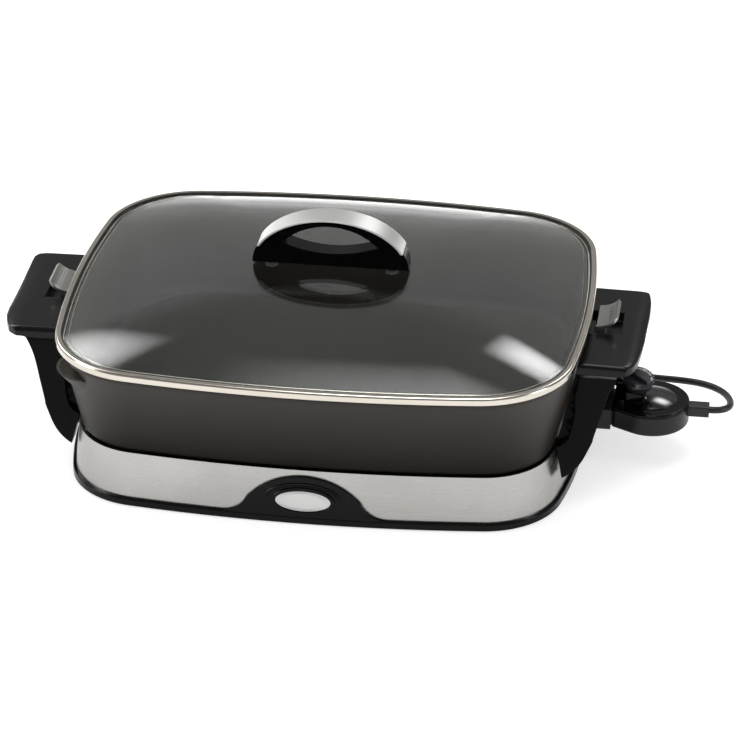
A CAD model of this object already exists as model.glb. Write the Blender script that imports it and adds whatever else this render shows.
"""Electric skillet: finishes, small parts, cord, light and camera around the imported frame."""

import logging
from dataclasses import dataclass
from enum import Enum
from math import atan2, cos, degrees, hypot, radians, sin, sqrt
from typing import Any, Iterable, Sequence

import bmesh
import bpy
from mathutils import Matrix, Vector


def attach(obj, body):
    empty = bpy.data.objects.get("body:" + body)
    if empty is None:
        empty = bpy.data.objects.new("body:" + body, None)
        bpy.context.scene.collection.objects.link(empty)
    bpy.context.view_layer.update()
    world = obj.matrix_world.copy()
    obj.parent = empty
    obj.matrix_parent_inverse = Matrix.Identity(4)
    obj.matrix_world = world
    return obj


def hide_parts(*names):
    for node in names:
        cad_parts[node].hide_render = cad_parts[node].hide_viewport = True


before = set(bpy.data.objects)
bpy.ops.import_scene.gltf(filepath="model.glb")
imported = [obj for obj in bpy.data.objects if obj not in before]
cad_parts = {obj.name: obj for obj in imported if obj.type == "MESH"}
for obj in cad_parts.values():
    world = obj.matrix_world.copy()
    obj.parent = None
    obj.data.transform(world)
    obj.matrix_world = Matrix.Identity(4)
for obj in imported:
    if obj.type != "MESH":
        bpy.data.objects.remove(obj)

LOG = logging.getLogger("skillet")
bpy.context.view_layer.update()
MM = 0.001
WELD = 0.001 * MM  # vertices closer than this are one
MOTTLE_MM = 45.0  # the broad, faint clouding of every finish
STROKE_MM = 60.0  # how long a brush stroke is
FINE_SHARE = 0.7  # how much of the clouding the fine grain adds
Point = tuple[float, float, float]
Triple = tuple[float, float, float]
Edge = tuple[tuple[float, float], ...]


# --------------------------------------------------------------------------- helpers
def linear(hex_colour: str, alpha: float = 1.0) -> tuple[float, float, float, float]:
    """Turn an sRGB hex colour into linear values.

    Args:
        hex_colour: Six hex digits.
        alpha: The fourth value.

    Returns:
        Linear red, green, blue and alpha.
    """
    parts = [int(hex_colour[i : i + 2], 16) / 255 for i in (0, 2, 4)]
    red, green, blue = (c / 12.92 if c <= 0.04045 else ((c + 0.055) / 1.055) ** 2.4 for c in parts)
    return red, green, blue, alpha


def add_node(
    tree: bpy.types.NodeTree, kind: str, settings: dict[str, Any] | None = None, **inputs: Any
) -> bpy.types.Node:
    """Add a node with its settings, constants and links.

    Args:
        tree: The tree that the node joins.
        kind: The node's type name.
        settings: Attributes of the node itself.
        inputs: Values or output sockets by input name, with "_" for a space, or "i0" for input 0.

    Returns:
        The new node.
    """
    node = tree.nodes.new(kind)
    for name, value in (settings or {}).items():
        setattr(node, name, value)
    for name, value in inputs.items():
        numbered = name[0] == "i" and name[1:].isdigit()
        socket = node.inputs[int(name[1:])] if numbered else node.inputs[name.replace("_", " ")]
        if isinstance(value, bpy.types.NodeSocket):
            tree.links.new(value, socket)
        else:
            socket.default_value = value
    return node


def link(name: str, data: bpy.types.ID) -> bpy.types.Object:
    """Put data into the scene as an object at the origin.

    Args:
        name: The object's name.
        data: Its mesh, curve, light or camera.

    Returns:
        The linked object.
    """
    made = bpy.data.objects.new(name, data)
    bpy.context.scene.collection.objects.link(made)
    return made


def mesh_object(
    name: str, points: Iterable[Sequence[float]], faces: Iterable[Sequence[int]]
) -> bpy.types.Object:
    """Make a mesh object at the origin from points in metres.

    Args:
        name: The piece's name.
        points: Vertices.
        faces: Vertex numbers of each face.

    Returns:
        The linked object.
    """
    mesh = bpy.data.meshes.new(name)
    mesh.from_pydata([tuple(p) for p in points], [], [tuple(f) for f in faces])
    mesh.update()
    return link(name, mesh)


def from_bmesh(name: str, mesh: bmesh.types.BMesh, finish: "Finish") -> bpy.types.Object:
    """Turn an edit mesh into a linked object with a finish, and free the edit mesh.

    Args:
        name: The object's name.
        mesh: The edit mesh, in metres.
        finish: The finish of all its faces.

    Returns:
        The linked object.
    """
    data = bpy.data.meshes.new(name)
    mesh.to_mesh(data)
    mesh.free()
    data.materials.append(finish.material())
    return link(name, data)


def as_mesh(
    name: str, source: bpy.types.Object, place: Matrix | None = None
) -> bpy.types.Object:
    """Turn an object, as its modifiers leave it, into a plain mesh object at the origin.

    Args:
        name: The new piece's name.
        source: A curve, text or mesh object, which is removed.
        place: Where the mesh goes, if not where the source stands.

    Returns:
        The new object.
    """
    bpy.context.view_layer.update()
    graph = bpy.context.evaluated_depsgraph_get()
    mesh = bpy.data.meshes.new_from_object(source.evaluated_get(graph))
    mesh.transform(place if place is not None else source.matrix_world)
    mesh.name = name
    piece = link(name, mesh)
    bpy.data.objects.remove(source)
    return piece


def smooth(piece: bpy.types.Object, sharp_above: float = 35.0) -> bpy.types.Object:
    """Shade a piece smooth, apart from its sharp edges.

    Args:
        piece: The piece.
        sharp_above: Edges that turn by more degrees than this stay sharp.

    Returns:
        The same piece.
    """
    piece.data.shade_smooth()
    piece.data.set_sharp_from_angle(angle=radians(sharp_above))
    return piece


def ease(value: float, start: float, end: float) -> float:
    """How far a value has come from a start to an end, from 0 to 1, with a soft start and end."""
    share = min(max((value - start) / (end - start), 0.0), 1.0)
    return share * share * (3 - 2 * share)


def curve_length(curve: bpy.types.Curve) -> float:
    """The length of a curve's line, measured before it gets its thickness.

    Args:
        curve: The curve.

    Returns:
        Metres.
    """
    measured = link("measure", curve)
    bpy.context.view_layer.update()
    graph = bpy.context.evaluated_depsgraph_get()
    line = bpy.data.meshes.new_from_object(measured.evaluated_get(graph))
    ends = ([line.vertices[number].co for number in edge.vertices] for edge in line.edges)
    total = sum((first - last).length for first, last in ends)
    bpy.data.objects.remove(measured)
    bpy.data.meshes.remove(line)
    return total


# -------------------------------------------------------------------------- finishes
class Grain(Enum):
    """How a surface was worked, which sets its fine pattern."""

    PLAIN = "plain"
    MOULDED = "moulded"
    CAST = "cast"
    BRUSHED = "brushed"


@dataclass(frozen=True)
class Finish:
    """A finish: what the material is, how it was worked and what it gives the eye.

    Two colours cloud into each other. The grain's width and depth and the width of the rounded
    edges are in millimetres. A shade is a low and a high level, in metres, and the share of the colour
    that is left at the low one.
    """

    name: str
    colour: str
    second: str
    roughness: float
    metallic: float = 0.0
    specular: float = 0.5
    grain: Grain = Grain.PLAIN
    grain_mm: float = 1.0
    grain_depth_mm: float = 0.01
    roughness_spread: float = 0.08
    edge_mm: float = 0.0
    anisotropy: float = 0.0
    shade: tuple[float, float, float] | None = None

    def material(self) -> bpy.types.Material:
        """The material, built once and kept under its name."""
        known = bpy.data.materials.get(self.name)
        return known or self.build()

    def build(self) -> bpy.types.Material:
        """Build the node tree of the finish.

        Returns:
            The material.
        """
        material = bpy.data.materials.new(self.name)
        material.use_nodes = True
        tree = material.node_tree
        tree.nodes.clear()
        place = add_node(tree, "ShaderNodeTexCoord").outputs["Object"]
        fine = self.pattern(tree, place)
        broad = add_node(
            tree, "ShaderNodeTexNoise", Vector=place, Scale=1 / (MOTTLE_MM * MM), Detail=3.0
        ).outputs["Fac"]
        blend = add_node(
            tree, "ShaderNodeMath", {"operation": "ADD", "use_clamp": True}, i0=broad
        )
        centred = add_node(
            tree,
            "ShaderNodeMath",
            {"operation": "MULTIPLY_ADD"},
            i0=fine,
            i1=FINE_SHARE,
            i2=-FINE_SHARE / 2,
        )
        tree.links.new(centred.outputs[0], blend.inputs[1])
        colour = add_node(
            tree,
            "ShaderNodeMix",
            {"data_type": "RGBA"},
            i0=blend.outputs[0],
            i6=linear(self.colour),
            i7=linear(self.second),
        )
        rough = add_node(
            tree,
            "ShaderNodeMapRange",
            Value=blend.outputs[0],
            To_Min=max(self.roughness - self.roughness_spread, 0.02),
            To_Max=min(self.roughness + self.roughness_spread, 1.0),
        )
        bump = add_node(
            tree,
            "ShaderNodeBump",
            Strength=1.0,
            Distance=self.grain_depth_mm * MM,
            Height=fine,
        )
        if self.edge_mm:
            edge = add_node(tree, "ShaderNodeBevel", {"samples": 4}, Radius=self.edge_mm * MM)
            tree.links.new(edge.outputs[0], bump.inputs["Normal"])
        shader = add_node(
            tree,
            "ShaderNodeBsdfPrincipled",
            Roughness=rough.outputs[0],
            Normal=bump.outputs[0],
            Metallic=self.metallic,
            Specular_IOR_Level=self.specular,
            Anisotropic=self.anisotropy,
            Base_Color=colour.outputs[2],
        )
        if self.shade:
            self.darken(tree, place, shader, colour.outputs[2])
        add_node(tree, "ShaderNodeOutputMaterial", Surface=shader.outputs[0])
        return material

    def darken(
        self,
        tree: bpy.types.NodeTree,
        place: bpy.types.NodeSocket,
        shader: bpy.types.Node,
        colour: bpy.types.NodeSocket,
    ) -> None:
        """Let the coat grow darker and duller downwards, as a thicker, baked film is.

        Args:
            tree: The material's tree.
            place: The coordinate that gives the height.
            shader: The shader that takes the colour and the specular level.
            colour: The colour before it is darkened.
        """
        low, high, share = self.shade
        height = add_node(tree, "ShaderNodeSeparateXYZ", i0=place).outputs["Z"]
        level = add_node(
            tree, "ShaderNodeMapRange", Value=height, From_Min=low, From_Max=high, To_Min=share
        ).outputs[0]
        dark = add_node(tree, "ShaderNodeVectorMath", {"operation": "SCALE"}, i0=colour, Scale=level)
        shine = add_node(
            tree, "ShaderNodeMath", {"operation": "MULTIPLY"}, i0=level, i1=self.specular
        )
        tree.links.new(dark.outputs[0], shader.inputs["Base Color"])
        tree.links.new(shine.outputs[0], shader.inputs["Specular IOR Level"])

    def pattern(self, tree: bpy.types.NodeTree, place: bpy.types.NodeSocket) -> bpy.types.NodeSocket:
        """The fine pattern's height, from 0 to 1.

        Args:
            tree: The material's tree.
            place: The coordinate that the pattern follows.

        Returns:
            The socket that carries the height.
        """
        if self.grain is Grain.BRUSHED:
            # level strokes all round, a few centimetres long and a fraction of a millimetre apart
            across = 1 / (self.grain_mm * MM)
            along = 1 / (STROKE_MM * MM)
            stretch = add_node(tree, "ShaderNodeMapping", Vector=place, Scale=(along, along, across))
            noise = add_node(
                tree, "ShaderNodeTexNoise", Vector=stretch.outputs[0], Scale=1.0, Detail=4.0
            )
            return noise.outputs["Fac"]
        detail = {Grain.PLAIN: 1.0, Grain.MOULDED: 3.0, Grain.CAST: 6.0}[self.grain]
        noise = add_node(
            tree, "ShaderNodeTexNoise", Vector=place, Scale=1 / (self.grain_mm * MM), Detail=detail
        )
        return noise.outputs["Fac"]


@dataclass(frozen=True)
class ClearGlass:
    """Tempered soda-lime glass, fire-polished: clear, faintly green, with sharp reflections.

    Its index is matched to the lid's faint mirror, below that of solid glass.
    """

    name: str = "Tempered soda-lime glass, polished"
    tint: str = "F3F6F4"
    ior: float = 1.3
    roughness: float = 0.02
    ripple_mm: float = 70.0
    ripple_depth_mm: float = 0.05

    def material(self) -> bpy.types.Material:
        """The glass, which lets light pass straight through it onto what is inside.

        Returns:
            The material, built once and kept under its name.
        """
        known = bpy.data.materials.get(self.name)
        if known:
            return known
        material = bpy.data.materials.new(self.name)
        material.use_nodes = True
        tree = material.node_tree
        tree.nodes.clear()
        place = add_node(tree, "ShaderNodeTexCoord").outputs["Object"]
        ripple = add_node(
            tree, "ShaderNodeTexNoise", Vector=place, Scale=1 / (self.ripple_mm * MM), Detail=1.0
        )
        bump = add_node(
            tree,
            "ShaderNodeBump",
            Strength=1.0,
            Distance=self.ripple_depth_mm * MM,
            Height=ripple.outputs["Fac"],
        )
        glass = add_node(
            tree,
            "ShaderNodeBsdfPrincipled",
            Base_Color=linear(self.tint),
            Roughness=self.roughness,
            IOR=self.ior,
            Transmission_Weight=1.0,
            Normal=bump.outputs[0],
        )
        clear = add_node(tree, "ShaderNodeBsdfTransparent", Color=linear(self.tint))
        ray = add_node(tree, "ShaderNodeLightPath")
        indirect = add_node(
            tree,
            "ShaderNodeMath",
            {"operation": "MAXIMUM"},
            i0=ray.outputs["Is Shadow Ray"],
            i1=ray.outputs["Is Diffuse Ray"],
        )
        mixed = add_node(
            tree,
            "ShaderNodeMixShader",
            i0=indirect.outputs[0],
            i1=glass.outputs[0],
            i2=clear.outputs[0],
        )
        add_node(tree, "ShaderNodeOutputMaterial", Surface=mixed.outputs[0])
        return material


# Aluminium with a fired non-stick coat: dark warm grey, satin, with the casting's faint grain.
NONSTICK = Finish(
    "Cast aluminium, dark non-stick coat", "2E2925", "35302B", 0.44, specular=0.3,
    grain=Grain.CAST, grain_mm=1.1, grain_depth_mm=0.003, roughness_spread=0.04,
    shade=(0.046, 0.112, 0.3),
)
# Ferritic stainless sheet, brushed level: bright grey with fine streaks.
SKIRT_STEEL = Finish(
    "Stainless sheet, brushed", "A3A19E", "B5B4B1", 0.27, metallic=1.0,
    grain=Grain.BRUSHED, grain_mm=0.45, grain_depth_mm=0.010, anisotropy=0.5,
)
# Stainless strip, rolled and buffed: warmer than the skirt, with soft level streaks.
RIM_STEEL = Finish(
    "Stainless strip, rolled and buffed", "C0BAAF", "D2CCC1", 0.17, metallic=1.0,
    grain=Grain.BRUSHED, grain_mm=0.8, grain_depth_mm=0.004, roughness_spread=0.05,
)
# Stainless strip, satin: a clean bright band whose edges catch the light.
STRAP_STEEL = Finish(
    "Stainless strip, satin", "E6E6E4", "F0F0EE", 0.36, metallic=1.0,
    grain=Grain.MOULDED, grain_mm=0.7, grain_depth_mm=0.004, edge_mm=0.3,
)
# Pressed steel, satin plated: a duller grey than the strip.
LATCH_STEEL = Finish(
    "Steel pressing, satin plated", "A4A4A1", "B4B4B1", 0.3, metallic=1.0,
    grain=Grain.MOULDED, grain_mm=0.8, grain_depth_mm=0.006, edge_mm=0.3,
)
# Plated screws and pins: soft grey with a slight mottle.
ZINC = Finish(
    "Steel, zinc plated", "9C9C9A", "B4B4B0", 0.38, metallic=1.0,
    grain=Grain.MOULDED, grain_mm=1.2, grain_depth_mm=0.01,
)
# Dull underside sheet with a broad spangle.
SHIELD_STEEL = Finish(
    "Aluminised steel sheet", "9A9A98", "ABABA8", 0.42, metallic=1.0,
    grain=Grain.MOULDED, grain_mm=2.0, grain_depth_mm=0.01,
)
# Heat-darkened tube: brown-grey, nearly matt.
SHEATH = Finish(
    "Steel sheath, oxidised", "4A443E", "5C554C", 0.5, metallic=0.8,
    grain=Grain.MOULDED, grain_mm=1.0, grain_depth_mm=0.02,
)
# Turned brass: warm and bright, for the contacts.
BRASS = Finish("Brass, plain", "B49A5C", "C0A86B", 0.3, metallic=1.0, grain=Grain.MOULDED)
# Phenolic moulding from a satin tool: near-black, a soft sheen and rounded edges.
HANDLE_PLASTIC = Finish(
    "Phenolic, moulded satin", "0B0B0B", "0F0F0F", 0.22, specular=0.2,
    grain=Grain.MOULDED, grain_mm=0.5, grain_depth_mm=0.003, roughness_spread=0.04, edge_mm=0.9,
)
# Phenolic moulding from a polished tool: black with clear reflections.
TRIM_PLASTIC = Finish(
    "Phenolic, moulded gloss", "060606", "090909", 0.1, specular=0.15,
    grain=Grain.MOULDED, grain_mm=0.8, grain_depth_mm=0.002, roughness_spread=0.03, edge_mm=0.6,
)
# Phenolic with a fine moulded texture: dark grey and a little dull.
CONTROL_PLASTIC = Finish(
    "Phenolic, moulded fine texture", "141211", "1A1816", 0.3, specular=0.3,
    grain=Grain.MOULDED, grain_mm=0.35, grain_depth_mm=0.006, roughness_spread=0.05, edge_mm=0.6,
)
# Smoked polycarbonate: deep black that mirrors the lamps.
PANEL_PLASTIC = Finish(
    "Polycarbonate lens, smoked", "070708", "0A0A0B", 0.13, specular=0.8, roughness_spread=0.01,
    grain_mm=30.0, grain_depth_mm=0.002, edge_mm=0.4,
)
# Knob moulding: satin black with crisp fluting.
DIAL_PLASTIC = Finish(
    "Phenolic knob, moulded", "26272A", "2E2F33", 0.22, specular=0.6,
    grain=Grain.MOULDED, grain_mm=0.4, grain_depth_mm=0.006, edge_mm=0.35,
)
# Filled enamel: pale and flat, so that the figures read against the knob.
FIGURE_PAINT = Finish("Enamel figures, pale", "BCBCBF", "CACACC", 0.5, grain_mm=2.0)
# Tinted acrylic, unlit: a dark red bead with a small highlight.
LAMP_LENS = Finish("Acrylic lens, dark red", "2A0706", "360A08", 0.12, grain_mm=5.0)
# Moulded rubber: black and matt.
RUBBER = Finish(
    "Rubber, moulded", "111111", "181818", 0.7, specular=0.35,
    grain=Grain.MOULDED, grain_mm=0.6, grain_depth_mm=0.02,
)
# Plasticised PVC: black with a broad soft sheen.
CORD_JACKET = Finish(
    "PVC cord jacket", "111111", "171717", 0.4, specular=0.4,
    grain=Grain.MOULDED, grain_mm=0.8, grain_depth_mm=0.008,
)
# Bare anodised aluminium: even, pale and slightly frosted.
BADGE_METAL = Finish(
    "Aluminium badge, anodised bare", "C4C4C3", "CECECD", 0.32, metallic=1.0,
    grain=Grain.MOULDED, grain_mm=0.5, grain_depth_mm=0.004,
)
GLASS = ClearGlass()


def dress(finish: Finish | ClearGlass, *names: str) -> None:
    """Give CAD nodes a finish in place of their plain one.

    Args:
        finish: The finish.
        names: The nodes.
    """
    for name in names:
        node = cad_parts[name]
        node.data.materials.clear()
        node.data.materials.append(finish.material())
        LOG.info("%s: %s", name, finish.name)


# ---------------------------------------------------------------- repeated small parts
@dataclass(frozen=True)
class RowOfRibs:
    """A straight row of low ribs made by Geometry Nodes, with its pitch and size in metres."""

    count: int
    pitch: float
    size: Triple

    def tree(self, finish: Finish) -> bpy.types.NodeTree:
        """Build the node group, with the count, pitch and rib size as its inputs.

        Args:
            finish: The ribs' finish.

        Returns:
            The group.
        """
        group = bpy.data.node_groups.new("row of ribs", "GeometryNodeTree")
        group.interface.new_socket("Geometry", in_out="INPUT", socket_type="NodeSocketGeometry")
        group.interface.new_socket("Count", in_out="INPUT", socket_type="NodeSocketInt")
        group.interface.new_socket("Pitch", in_out="INPUT", socket_type="NodeSocketFloat")
        group.interface.new_socket("Size", in_out="INPUT", socket_type="NodeSocketVector")
        group.interface.new_socket("Geometry", in_out="OUTPUT", socket_type="NodeSocketGeometry")
        given = add_node(group, "NodeGroupInput").outputs
        step = add_node(group, "ShaderNodeCombineXYZ", X=given["Pitch"])
        line = add_node(group, "GeometryNodeMeshLine", Count=given["Count"], Offset=step.outputs[0])
        rib = add_node(group, "GeometryNodeMeshCube", Size=given["Size"])
        ribs = add_node(
            group, "GeometryNodeInstanceOnPoints", Points=line.outputs[0], Instance=rib.outputs[0]
        )
        real = add_node(group, "GeometryNodeRealizeInstances", Geometry=ribs.outputs[0])
        painted = add_node(
            group, "GeometryNodeSetMaterial", Geometry=real.outputs[0], Material=finish.material()
        )
        add_node(group, "NodeGroupOutput", i0=painted.outputs[0])
        return group

    def piece(self, name: str, finish: Finish, place: Matrix) -> bpy.types.Object:
        """The row as a plain mesh in its place.

        Args:
            name: The piece's name.
            finish: Its finish.
            place: Where the row starts and how it is turned.

        Returns:
            The piece.
        """
        holder = mesh_object(name + "_rule", [(0, 0, 0)], [])
        rule = holder.modifiers.new("ribs", "NODES")
        rule.node_group = self.tree(finish)
        values = {"Count": self.count, "Pitch": self.pitch, "Size": self.size}
        for item in rule.node_group.interface.items_tree:
            if item.in_out == "INPUT" and item.name in values:
                rule[item.identifier] = values[item.name]
        LOG.info("%s: %d ribs", name, self.count)
        return as_mesh(name, holder, place)


def bead(
    name: str, points: Sequence[Sequence[float]], radius: float, closed: bool, finish: Finish
) -> bpy.types.Object:
    """A thin round bead along a line.

    Args:
        name: The piece's name.
        points: The line, in millimetres.
        radius: The bead's radius, in millimetres.
        closed: Whether the line comes back to its start.
        finish: The bead's finish.

    Returns:
        The bead as a mesh.
    """
    curve = bpy.data.curves.new(name, "CURVE")
    curve.dimensions = "3D"
    spline = curve.splines.new("POLY")
    spline.points.add(len(points) - 1)
    for target, point in zip(spline.points, points):
        target.co = (*(value * MM for value in point), 1.0)
    spline.use_cyclic_u = closed
    curve.bevel_depth = radius * MM
    curve.bevel_resolution = 3
    curve.use_fill_caps = True
    curve.materials.append(finish.material())
    LOG.info("%s: %s", name, finish.name)
    return smooth(as_mesh(name, link(name + "_line", curve)))


def arc(middle: Point, radius: float, start: float, end: float, steps: int) -> list[Point]:
    """Points of a level arc, in millimetres and degrees, its last point left out."""
    angles = (radians(start + (end - start) * i / steps) for i in range(steps))
    return [(middle[0] + radius * cos(a), middle[1] + radius * sin(a), middle[2]) for a in angles]


@dataclass(frozen=True)
class Outline:
    """The lid's outline: two long and two short arcs with round corners, in millimetres.

    Its steps are those of a quarter's short arc, corner and long arc.
    """

    half_length: float
    half_width: float
    long_bow: float
    short_bow: float
    corner: float
    steps: tuple[int, int, int] = (12, 24, 16)

    def ring(self, inset: float, z: float) -> list[Point]:
        """Points around the outline drawn in by an inset, at a height.

        Args:
            inset: How far inside the outline the ring lies.
            z: Its height.

        Returns:
            The points, once around.
        """
        chord_x, chord_y = self.half_length - self.short_bow, self.half_width - self.long_bow
        long_radius = (chord_x**2 + self.long_bow**2) / (2 * self.long_bow)
        short_radius = (chord_y**2 + self.short_bow**2) / (2 * self.short_bow)
        long_y, short_x = self.half_width - long_radius, self.half_length - short_radius
        reach_long, reach_short = long_radius - self.corner, short_radius - self.corner
        span = hypot(short_x, long_y)
        along = (reach_long**2 - reach_short**2 + span**2) / (2 * span)
        across = sqrt(reach_long**2 - along**2)
        x = (along * short_x - across * long_y) / span
        y = long_y - (along * long_y + across * short_x) / span
        low, high = degrees(atan2(y, x - short_x)), degrees(atan2(y - long_y, x))
        short_steps, corner_steps, long_steps = self.steps
        quarter = [
            *arc((short_x, 0, z), short_radius - inset, 0, low, short_steps),
            *arc((x, y, z), self.corner - inset, low, high, corner_steps),
            *arc((0, long_y, z), long_radius - inset, high, 90, long_steps),
            (0.0, self.half_width - inset, z),
        ]
        half = [*quarter, *((-px, py, z) for px, py, _ in reversed(quarter[:-1]))]
        return [*half, *((px, -py, z) for px, py, _ in reversed(half[1:-1]))]


# ------------------------------------------------------------------------ sub-assemblies
@dataclass
class Base:
    """The base: black trim with its hump, brushed skirt, shield, feet and the bare badge.

    Sizes are in millimetres and angles in degrees. The hump's face leans back by the share
    face_lean and bows with face_radius.
    """

    face_y: float = -148.3
    face_lean: float = 0.0601
    face_radius: float = 1177.0
    badge_z: float = 20.0
    badge_half: tuple[float, float] = (21.0, 8.3)
    ring_shares: tuple[float, ...] = (0.9, 0.8)
    ring_radius: float = 0.16
    ring_stand: float = 0.32
    ring_points: int = 48
    brow_half: tuple[float, float] = (30.0, 14.6)
    brow_beads: tuple[tuple[float, float], ...] = ((0.0, 0.8), (1.9, 0.45))  # inset and radius
    brow_stand: float = 0.1
    brow_start: float = 8.0
    brow_step: float = 4.1
    brow_points: int = 41

    def on_face(self, half: tuple[float, float], angle: float, stand: float, flat: bool) -> Point:
        """A point of an oval about the badge's middle, on the hump's face or the badge's plane.

        Args:
            half: The oval's half width and half height.
            angle: Where on the oval, in degrees from the right.
            stand: How far the point stands out.
            flat: Whether it lies on the badge's flat plane.

        Returns:
            The point in millimetres.
        """
        x, rise = half[0] * cos(radians(angle)), half[1] * sin(radians(angle))
        bow = 0.0 if flat else x * x / (2 * self.face_radius)
        return x, self.face_y + self.face_lean * rise + bow - stand, self.badge_z + rise

    def build(self) -> None:
        """Dress the base's nodes, ring the badge and put the brow over it."""
        for number, share in enumerate(self.ring_shares):
            half = (self.badge_half[0] * share, self.badge_half[1] * share)
            turn = 360 / self.ring_points
            line = [
                self.on_face(half, i * turn, self.ring_stand, True) for i in range(self.ring_points)
            ]
            ring = bead(f"badge_ring_{number}", line, self.ring_radius, True, BADGE_METAL)
            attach(ring, "skillet")
        for number, (inset, radius) in enumerate(self.brow_beads):
            half = (self.brow_half[0] - inset, self.brow_half[1] - inset)
            angles = (self.brow_start + i * self.brow_step for i in range(self.brow_points))
            line = [self.on_face(half, angle, self.brow_stand, False) for angle in angles]
            brow = bead(f"badge_brow_{number}", line, radius, False, TRIM_PLASTIC)
            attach(brow, "skillet")
        dress(TRIM_PLASTIC, "base_trim", "badge_bezel")
        dress(SKIRT_STEEL, "steel_skirt")
        dress(SHIELD_STEEL, "heat_shield")
        dress(RUBBER, "base_feet")
        dress(ZINC, "base_screws", "hinge_ears", "hinge_pins")
        dress(BADGE_METAL, "badge_plate")


@dataclass
class Pan:
    """The cast pan with its element, pins and guard."""

    def build(self) -> None:
        """Dress the pan's nodes."""
        dress(NONSTICK, "pan")
        dress(SHEATH, "heating_element")
        dress(ZINC, "terminal_pins")
        dress(CONTROL_PLASTIC, "terminal_guard")


@dataclass
class Handles:
    """The two end handles with their latches, in millimetres.

    A handle is moulded from its node: beyond the latch's pocket the grip's plain bow gives way to
    an edge listed as distances along the grip with how far it reaches there, and its back end is
    drawn out a little.
    """

    ribs: RowOfRibs = RowOfRibs(3, 1.9 * MM, (0.7 * MM, 24 * MM, 0.5 * MM))
    rib_start: Point = (216.0, 8.0, 114.9)
    rib_slope: float = -38.7
    pocket_x: float = 226.0
    corner_reach: float = 246.0
    middle_reach: float = 251.0
    half_width: float = 63.0
    back_reach: float = 5.0
    back_start: float = 30.0
    back_rise: tuple[float, float] = (78.0, 98.0)
    cut_above: float = 96.5
    cut_y: range = range(-66, 68, 3)
    cut_x: tuple[float, ...] = (226.0, 232.0, 238.0, 244.0)
    sharp_above: float = 24.0
    left_edge: Edge = (
        (-64.0, 239.0), (-58.5, 243.5), (-49.0, 247.3), (-39.0, 249.8), (-26.0, 251.0),
        (48.0, 251.0), (57.0, 250.2), (64.0, 247.0),
    )
    right_edge: Edge = (
        (-64.0, 235.0), (-58.5, 238.0), (-53.0, 240.2), (-45.0, 241.8), (-28.0, 243.6),
        (-12.0, 244.6), (13.0, 245.0), (30.0, 245.4), (47.0, 245.0), (64.0, 242.0),
    )

    def edge_at(self, edge: Edge, y: float) -> float:
        """How far an edge reaches between its listed points.

        Args:
            edge: The listed points.
            y: The distance along the grip.

        Returns:
            The reach.
        """
        y = min(max(y, edge[0][0]), edge[-1][0])
        for (low, start), (high, end) in zip(edge, edge[1:]):
            if y <= high:
                return start + (end - start) * (y - low) / (high - low)
        return edge[-1][1]

    def cut_grip(self, mesh: bmesh.types.BMesh, sign: int) -> None:
        """Cut the grip's faces across and along, so that they can follow an edge.

        Args:
            mesh: The handle.
            sign: 1 for the right handle and -1 for the left one.
        """
        cuts = [(Vector((0, y * MM, 0)), Vector((0, 1, 0))) for y in self.cut_y]
        cuts += [(Vector((sign * x * MM, 0, 0)), Vector((1, 0, 0))) for x in self.cut_x]
        lowest = self.cut_above * MM
        for where, normal in cuts:
            faces = [face for face in mesh.faces if max(v.co.z for v in face.verts) > lowest]
            edges = {edge for face in faces for edge in face.edges}
            near = {vertex for face in faces for vertex in face.verts}
            bmesh.ops.bisect_plane(
                mesh, geom=[*near, *edges, *faces], plane_co=where, plane_no=normal
            )

    def draw_edge(self, mesh: bmesh.types.BMesh, sign: int, edge: Edge) -> None:
        """Move the grip's outer part onto an edge, and draw its back end out.

        Args:
            mesh: The handle, cut.
            sign: 1 for the right handle and -1 for the left one.
            edge: The edge's listed points.
        """
        corner, middle, pocket = self.corner_reach, self.middle_reach, self.pocket_x
        for vertex in mesh.verts:
            x, y, z = (value / MM for value in vertex.co)
            reach = corner + (middle - corner) * (1 - min(y * y / self.half_width**2, 1.0))
            run = sign * x - pocket
            if run > 0:
                x = sign * (pocket + run * (self.edge_at(edge, y) - pocket) / (reach - pocket))
                x = min(max(x, -middle), middle)
            y += self.back_reach * ease(y, self.back_start, self.half_width) * ease(z, *self.back_rise)
            vertex.co = (x * MM, y * MM, z * MM)

    def grip(self, side: str, sign: int, edge: Edge) -> None:
        """Stand a handle with its own outer edge and back end in for the plain one.

        Args:
            side: The handle's side, as its node is named.
            sign: 1 for the right handle and -1 for the left one.
            edge: How far the outer edge reaches at each distance along the grip.
        """
        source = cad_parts[f"{side}_handle"]
        mesh = bmesh.new()
        mesh.from_mesh(source.data)
        mesh.transform(source.matrix_world)
        bmesh.ops.remove_doubles(mesh, verts=mesh.verts, dist=WELD)
        self.cut_grip(mesh, sign)
        self.draw_edge(mesh, sign, edge)
        bmesh.ops.recalc_face_normals(mesh, faces=mesh.faces)
        holder = smooth(from_bmesh(f"{side}_handle_plain", mesh, HANDLE_PLASTIC), self.sharp_above)
        even = holder.modifiers.new("even", "WEIGHTED_NORMAL")
        even.keep_sharp = True
        piece = as_mesh(f"{side}_handle_moulding", holder)
        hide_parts(source.name)
        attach(piece, "skillet")
        LOG.info("%s: %s", piece.name, HANDLE_PLASTIC.name)

    def build(self) -> None:
        """Shape the handles, dress the levers and put the finger ribs on each lever's lip."""
        self.grip("left", -1, self.left_edge)
        self.grip("right", 1, self.right_edge)
        dress(LATCH_STEEL, "left_latch_lever", "right_latch_lever")
        dress(ZINC, "left_latch_pin", "right_latch_pin")
        x, y, z = (value * MM for value in self.rib_start)
        slope = Matrix.Rotation(radians(self.rib_slope), 4, "Y")
        right = Matrix.Translation((x, y, z)) @ slope
        left = Matrix.Translation((-x, y, z)) @ Matrix.Rotation(radians(180), 4, "Z") @ slope
        for side, place in (("right", right), ("left", left)):
            ribs = self.ribs.piece(f"{side}_latch_ribs", LATCH_STEEL, place)
            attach(ribs, f"{side}_latch")


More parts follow.
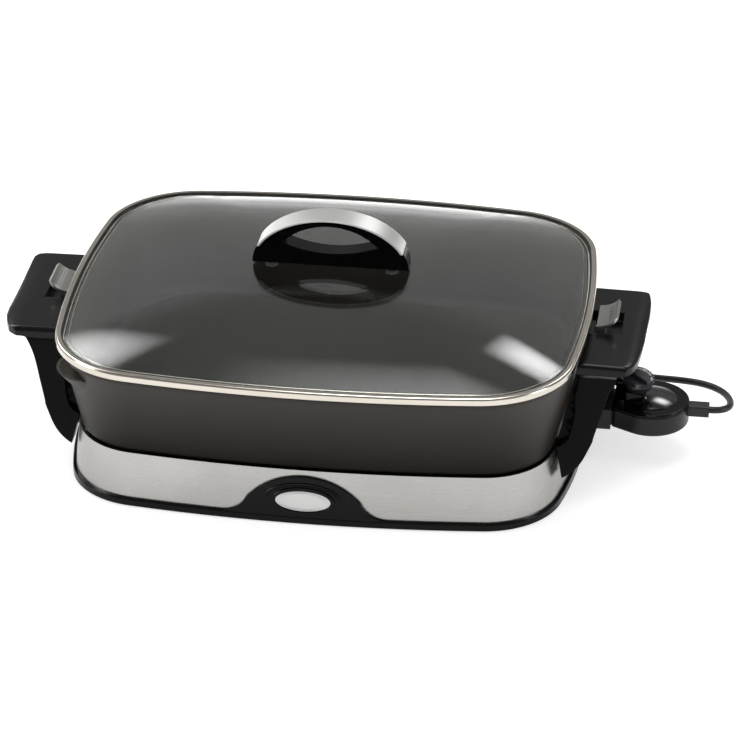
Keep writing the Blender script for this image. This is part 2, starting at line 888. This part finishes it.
@dataclass
class Lid:
    """The glass lid with its steel rim, arched handle and strap.

    A bead is given as its inset from the outline, its height and its radius.
    """

    outline: Outline = Outline(203.6, 169.0, 17.2, 14.6, 74.9)
    seal: Triple = (5.2, 123.75, 0.7)
    curl: Triple = (7.3, 119.7, 0.55)
    edge_line: Triple = (11.0, 121.2, 0.5)

    def build(self) -> None:
        """Dress the lid's nodes, seal the glass, curl the rim's edge and line the glass."""
        for name, (inset, z, radius), finish, slot in (
            ("lid_seal", self.seal, RUBBER, "rubber"),
            ("lid_rim_curl", self.curl, RIM_STEEL, "rim_steel"),
            ("lid_edge_line", self.edge_line, RIM_STEEL, "rim_steel"),
        ):
            piece = bead(name, self.outline.ring(inset, z), radius, True, finish)
            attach(piece, "lid")
        dress(GLASS, "lid_glass")
        dress(RIM_STEEL, "lid_rim")
        dress(TRIM_PLASTIC, "lid_handle")
        dress(STRAP_STEEL, "lid_handle_strap")
        dress(ZINC, "lid_screws")
        dress(RUBBER, "lid_gaskets")


@dataclass
class HeatControl:
    """The plug-in heat control with its dial, panel, lamp, nose and probe, in millimetres."""

    dial_middle: Point = (240.6, -5.0, 67.1)
    dial_axis: Point = (0.139173, -0.275637, 0.951133)
    face_radius: float = 8.4
    face_rise: float = 0.8
    dial_radius: float = 12.6
    figure_radius: float = 9.9
    figure_height: float = 2.6
    figures: tuple[tuple[float, str], ...] = (
        (38.0, "200"),
        (8.0, "250"),
        (-22.0, "300"),
        (-52.0, "350"),
        (-82.0, "400"),
    )
    figure_relief: float = 0.06
    figure_stroke: float = 0.05
    tick_radius: float = 11.9
    tick_size: Triple = (0.25, 0.9, 0.12)
    tick_steps: tuple[float, ...] = (-15.0, 0.0)
    shoulder: tuple[tuple[Point, Point], ...] = (
        ((222.6, 8.0, 47.0), (230.0, 18.0, 55.0)),
        ((219.4, 8.0, 51.6), (230.0, 18.0, 56.0)),
    )
    shoulder_round: float = 1.0

    def dial_frame(self) -> Matrix:
        """The dial's own axes: X towards its zero, Z out of its face.

        Returns:
            A matrix in metres.
        """
        normal = Vector(self.dial_axis).normalized()
        zero = Vector((0, 1, 0))
        zero = (zero - zero.dot(normal) * normal).normalized()
        side = normal.cross(zero)
        frame_of_dial = Matrix((zero, side, normal)).transposed().to_4x4()
        return Matrix.Translation([value * MM for value in self.dial_middle]) @ frame_of_dial

    def on_cone(self, angle: float, radius: float) -> Matrix:
        """Where something lies on the dial's sloping border.

        Args:
            angle: The angle about the dial, in degrees.
            radius: The distance from its axis, in millimetres.

        Returns:
            A matrix whose Y points outwards along the slope.
        """
        run = self.dial_radius - self.face_radius
        height = self.face_rise * (self.dial_radius - radius) / run
        slope = atan2(self.face_rise, run)
        return (
            self.dial_frame()
            @ Matrix.Rotation(radians(angle - 90), 4, "Z")
            @ Matrix.Translation((0, radius * MM, height * MM))
            @ Matrix.Rotation(-slope, 4, "X")
        )

    def print_dial(self) -> None:
        """Put the enamel figures and the ticks between them on the dial."""
        mesh = bmesh.new()
        for angle, words in self.figures:
            curve = bpy.data.curves.new("figure", "FONT")
            curve.body = words
            curve.size = self.figure_height * MM
            curve.align_x, curve.align_y = "CENTER", "CENTER"
            curve.extrude = self.figure_relief * MM
            curve.offset = self.figure_stroke * MM
            flat = as_mesh("figure", link("figure", curve), self.on_cone(angle, self.figure_radius))
            mesh.from_mesh(flat.data)
            bpy.data.objects.remove(flat)
        size = Matrix.Diagonal((*(value * MM for value in self.tick_size), 1.0))
        for angle, _ in self.figures:
            for step in self.tick_steps:
                place = self.on_cone(angle + step, self.tick_radius)
                bmesh.ops.create_cube(mesh, size=1.0, matrix=place @ size)
        figures = from_bmesh("dial_figures", mesh, FIGURE_PAINT)
        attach(figures, "dial")
        LOG.info("dial_figures: %s", FIGURE_PAINT.name)

    def add_shoulder(self) -> None:
        """Put the cover's low shoulder and its lip behind the dial's pedestal."""
        mesh = bmesh.new()
        for corners in self.shoulder:
            low, high = (Vector(corner) * MM for corner in corners)
            middle = Matrix.Translation((low + high) / 2)
            block = bmesh.ops.create_cube(
                mesh, size=1.0, matrix=middle @ Matrix.Diagonal((*(high - low), 1.0))
            )
            edges = list({edge for vertex in block["verts"] for edge in vertex.link_edges})
            bmesh.ops.bevel(
                mesh,
                geom=edges,
                offset=self.shoulder_round * MM,
                segments=3,
                affect="EDGES",
                profile=0.5,
            )
        piece = smooth(from_bmesh("control_shoulder", mesh, TRIM_PLASTIC))
        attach(piece, "control")
        LOG.info("control_shoulder: %s", TRIM_PLASTIC.name)

    def build(self) -> None:
        """Print the dial, add the shoulder and dress the control's nodes."""
        self.print_dial()
        self.add_shoulder()
        dress(CONTROL_PLASTIC, "control_base", "control_nose", "thermostat")
        dress(TRIM_PLASTIC, "control_cover")
        dress(PANEL_PLASTIC, "control_panel")
        dress(LAMP_LENS, "indicator_lens")
        dress(DIAL_PLASTIC, "dial")
        dress(ZINC, "dial_shaft", "probe", "control_screws")
        dress(BRASS, "socket_sleeves")


@dataclass
class Cord:
    """The mains cord: a lead down to the counter, a put-away coil behind the skillet, a plug.

    The route and the coil are in millimetres, and the coil's angles in degrees about its middle.
    """

    diameter: float = 5.5 * MM
    route: tuple[Point, ...] = (
        (296.0, 0.0, 40.5),
        (300.5, 0.0, 40.5),
        (305.4, 1.6, 40.3),
        (309.4, 5.4, 39.8),
        (311.6, 11.0, 39.0),
        (311.9, 18.0, 37.9),
        (310.8, 26.0, 36.6),
        (308.0, 35.5, 35.0),
        (303.0, 45.6, 33.2),
        (295.0, 55.6, 31.1),
        (284.0, 65.2, 28.4),
        (268.8, 74.0, 24.8),
        (252.4, 83.6, 20.0),
        (237.0, 95.0, 14.4),
        (223.6, 109.0, 9.2),
        (212.8, 125.8, 5.4),
        (205.2, 144.4, 3.6),
        (199.6, 163.0, 3.2),
        (193.2, 180.2, 3.2),
        (184.9, 193.9, 3.2),
    )
    coil_middle: tuple[float, float] = (150.0, 186.0)
    coil_radius: float = 32.0
    low_z: float = 3.1
    layer: float = 5.6
    entry_angle: float = 39.4
    climb: tuple[float, float] = (335.0, 395.0)
    swing_out: tuple[float, float] = (670.0, 720.0)
    drop: tuple[float, float] = (765.0, 810.0)
    drop_by: float = 1.4
    points_per_turn: int = 16
    tail: tuple[Point, ...] = ((145.5, 223.6, 7.3), (141.0, 223.6, 7.3))

    def coil(self) -> list[Point]:
        """The coil: a turn on the counter, one on that, and the way out to the plug.

        Returns:
            Its points.
        """
        end = self.drop[1]
        steps = round((end - self.entry_angle) / 360 * self.points_per_turn)
        points = []
        for i in range(steps + 1):
            angle = self.entry_angle + (end - self.entry_angle) * i / steps
            up, out, down = (ease(angle, *span) for span in (self.climb, self.swing_out, self.drop))
            radius = self.coil_radius + self.layer * out
            x = self.coil_middle[0] + radius * cos(radians(angle))
            y = self.coil_middle[1] + radius * sin(radians(angle))
            points.append((x, y, self.low_z + self.layer * up - self.drop_by * down))
        return points

    def build(self) -> None:
        dress(CORD_JACKET, "strain_relief", "plug_body")
        dress(BRASS, "plug_blades")
        points = [*self.route, *self.coil(), *self.tail]
        curve = bpy.data.curves.new("cord", "CURVE")
        curve.dimensions = "3D"
        spline = curve.splines.new("NURBS")
        spline.points.add(len(points) - 1)
        for target, point in zip(spline.points, points):
            target.co = (*(value * MM for value in point), 1.0)
        spline.order_u = 3
        spline.use_endpoint_u = True
        spline.resolution_u = 8
        length = curve_length(curve)
        curve.bevel_depth = self.diameter / 2
        curve.bevel_resolution = 5
        curve.use_fill_caps = True
        curve.materials.append(CORD_JACKET.material())
        cord = link("cord", curve)
        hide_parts("cord_lead", "cord_coil")
        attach(cord, "control")
        LOG.info("cord: %.3f m", length)


# -------------------------------------------------------------------------------- studio
@dataclass
class Studio:
    """Floor, lights, backdrop and camera, in metres.

    A lamp is its name, place, size and watts. The sky is what reflections meet: levels by the
    upward share of the direction.
    """

    eye: Point = (0.36910, -2.37544, 1.35776)
    target: Point = (0.02830, 0.0, 0.05686)
    lens_mm: float = 170.27
    floor_half: float = 6.0
    lamps: tuple[tuple[str, Point, tuple[float, float], float], ...] = (
        ("top_softbox", (0.1, 0.0, 1.8), (1.8, 1.1), 36.0),
        ("left_softbox", (-1.7, -0.5, 0.9), (0.9, 1.2), 30.0),
        ("right_softbox", (1.8, -0.4, 0.8), (0.7, 1.2), 22.0),
        ("left_back_softbox", (-0.94, 0.72, 1.1), (0.8, 0.95), 26.0),
        ("right_back_softbox", (0.5, 1.22, 1.25), (0.5, 0.45), 8.0),
    )
    sky: tuple[tuple[float, float], ...] = (
        (0.0, 1.0), (0.1, 0.3), (0.3, 0.22), (0.42, 0.42), (0.5, 0.38), (0.62, 0.2),
    )
    fill: float = 0.45
    lamp_aim: Point = (0.0, 0.0, 0.08)
    paper: str = "D0D0D0"
    paper_glow: float = 0.6
    hump_gain: float = 16.0  # brings two humps of a quarter each back to one in the middle

    def build(self) -> None:
        """Set up the stage."""
        self.floor()
        self.world()
        for name, place, size, power in self.lamps:
            self.lamp(name, place, size, power)
        self.camera()

    def floor(self) -> None:
        """A plain pale floor that shows white to the camera and keeps the object's shadow."""
        reach = self.floor_half
        corners = [(-reach, -reach, 0), (reach, -reach, 0), (reach, reach, 0), (-reach, reach, 0)]
        floor = mesh_object("floor", corners, [(0, 1, 2, 3)])
        material = bpy.data.materials.new("Paper floor, white")
        material.use_nodes = True
        tree = material.node_tree
        tree.nodes.clear()
        paper = add_node(
            tree, "ShaderNodeBsdfDiffuse", Color=linear(self.paper), Roughness=0.5
        )
        glow = add_node(
            tree, "ShaderNodeEmission", Color=(1.0, 1.0, 1.0, 1.0), Strength=self.paper_glow
        )
        both = add_node(tree, "ShaderNodeAddShader", i0=paper.outputs[0], i1=glow.outputs[0])
        ray = add_node(tree, "ShaderNodeLightPath")
        seen = add_node(
            tree,
            "ShaderNodeMath",
            {"operation": "MAXIMUM"},
            i0=ray.outputs["Is Camera Ray"],
            i1=ray.outputs["Is Glossy Ray"],
        )
        through = add_node(
            tree,
            "ShaderNodeMath",
            {"operation": "MAXIMUM"},
            i0=seen.outputs[0],
            i1=ray.outputs["Is Transmission Ray"],
        )
        shown = add_node(
            tree,
            "ShaderNodeMixShader",
            i0=through.outputs[0],
            i1=paper.outputs[0],
            i2=both.outputs[0],
        )
        add_node(tree, "ShaderNodeOutputMaterial", Surface=shown.outputs[0])
        floor.data.materials.append(material)

    def world(self) -> None:
        """White for the camera and through glass, a dimmer sky in reflections, and a soft fill."""
        world = bpy.data.worlds.new("studio")
        bpy.context.scene.world = world
        world.use_nodes = True
        tree = world.node_tree
        tree.nodes.clear()
        ray = add_node(tree, "ShaderNodeLightPath").outputs
        way = add_node(tree, "ShaderNodeTexCoord").outputs["Generated"]
        rise = add_node(tree, "ShaderNodeSeparateXYZ", i0=way).outputs["Z"]
        mirrored = add_node(tree, "ShaderNodeValToRGB", Fac=rise)
        stops = mirrored.color_ramp.elements
        for number, (height, level) in enumerate(self.sky):
            stop = stops[number] if number < 2 else stops.new(height)
            stop.position = height
            stop.color = (level, level, level, 1.0)
        lit = add_node(
            tree, "ShaderNodeMix", i0=ray["Is Glossy Ray"], i2=self.fill, i3=mirrored.outputs[0]
        )
        seen = add_node(
            tree,
            "ShaderNodeMath",
            {"operation": "MAXIMUM"},
            i0=ray["Is Camera Ray"],
            i1=ray["Is Transmission Ray"],
        )
        strength = add_node(
            tree, "ShaderNodeMix", i0=seen.outputs[0], i2=lit.outputs[0], i3=1.0
        )
        sky = add_node(
            tree,
            "ShaderNodeBackground",
            Color=(1.0, 1.0, 1.0, 1.0),
            Strength=strength.outputs[0],
        )
        add_node(tree, "ShaderNodeOutputWorld", Surface=sky.outputs[0])

    def lamp(self, name: str, place: Point, size: tuple[float, float], power: float) -> None:
        """A soft box turned towards the skillet.

        Args:
            name: The lamp's name.
            place: Where it hangs.
            size: Its width and height.
            power: Its watts.
        """
        light = bpy.data.lights.new(name, "AREA")
        light.shape = "RECTANGLE"
        light.size, light.size_y = size
        light.energy = power
        self.soften(light)
        holder = link(name, light)
        aim = Vector(self.lamp_aim) - Vector(place)
        holder.location = place
        holder.rotation_euler = aim.to_track_quat("-Z", "Y").to_euler()

    def soften(self, light: bpy.types.Light) -> None:
        """Let a soft box fade from its middle to its edges, as its diffuser does.

        Args:
            light: The soft box.
        """
        light.use_nodes = True
        tree = light.node_tree
        tree.nodes.clear()
        across = add_node(tree, "ShaderNodeNewGeometry").outputs["Parametric"]
        split = add_node(tree, "ShaderNodeSeparateXYZ", i0=across).outputs
        humps = []
        for axis in ("X", "Y"):
            rest = add_node(tree, "ShaderNodeMath", {"operation": "SUBTRACT"}, i0=1.0, i1=split[axis])
            hump = add_node(
                tree, "ShaderNodeMath", {"operation": "MULTIPLY"}, i0=split[axis], i1=rest.outputs[0]
            )
            humps.append(hump.outputs[0])
        both = add_node(tree, "ShaderNodeMath", {"operation": "MULTIPLY"}, i0=humps[0], i1=humps[1])
        scaled = add_node(
            tree,
            "ShaderNodeMath",
            {"operation": "MULTIPLY"},
            i0=both.outputs[0],
            i1=self.hump_gain,
        )
        glow = add_node(tree, "ShaderNodeEmission", Strength=scaled.outputs[0])
        add_node(tree, "ShaderNodeOutputLight", Surface=glow.outputs[0])

    def camera(self) -> None:
        """The camera, level across, at its long lens."""
        data = bpy.data.cameras.new("camera")
        data.lens = self.lens_mm
        data.sensor_width = 36.0
        data.clip_end = 50.0
        camera = link("camera", data)
        camera.location = self.eye
        aim = Vector(self.target) - Vector(self.eye)
        camera.rotation_euler = aim.to_track_quat("-Z", "Y").to_euler()
        bpy.context.scene.camera = camera


def main() -> None:
    """Build every sub-assembly in order."""
    logging.basicConfig(level=logging.INFO, format="%(name)s: %(message)s")
    bpy.context.scene.view_settings.view_transform = "Standard"
    for part in (Studio(), Cord(), Base(), Pan(), Handles(), Lid(), HeatControl()):
        part.build()
        LOG.info("%s is done", type(part).__name__)


if __name__ == "__main__":
    main()
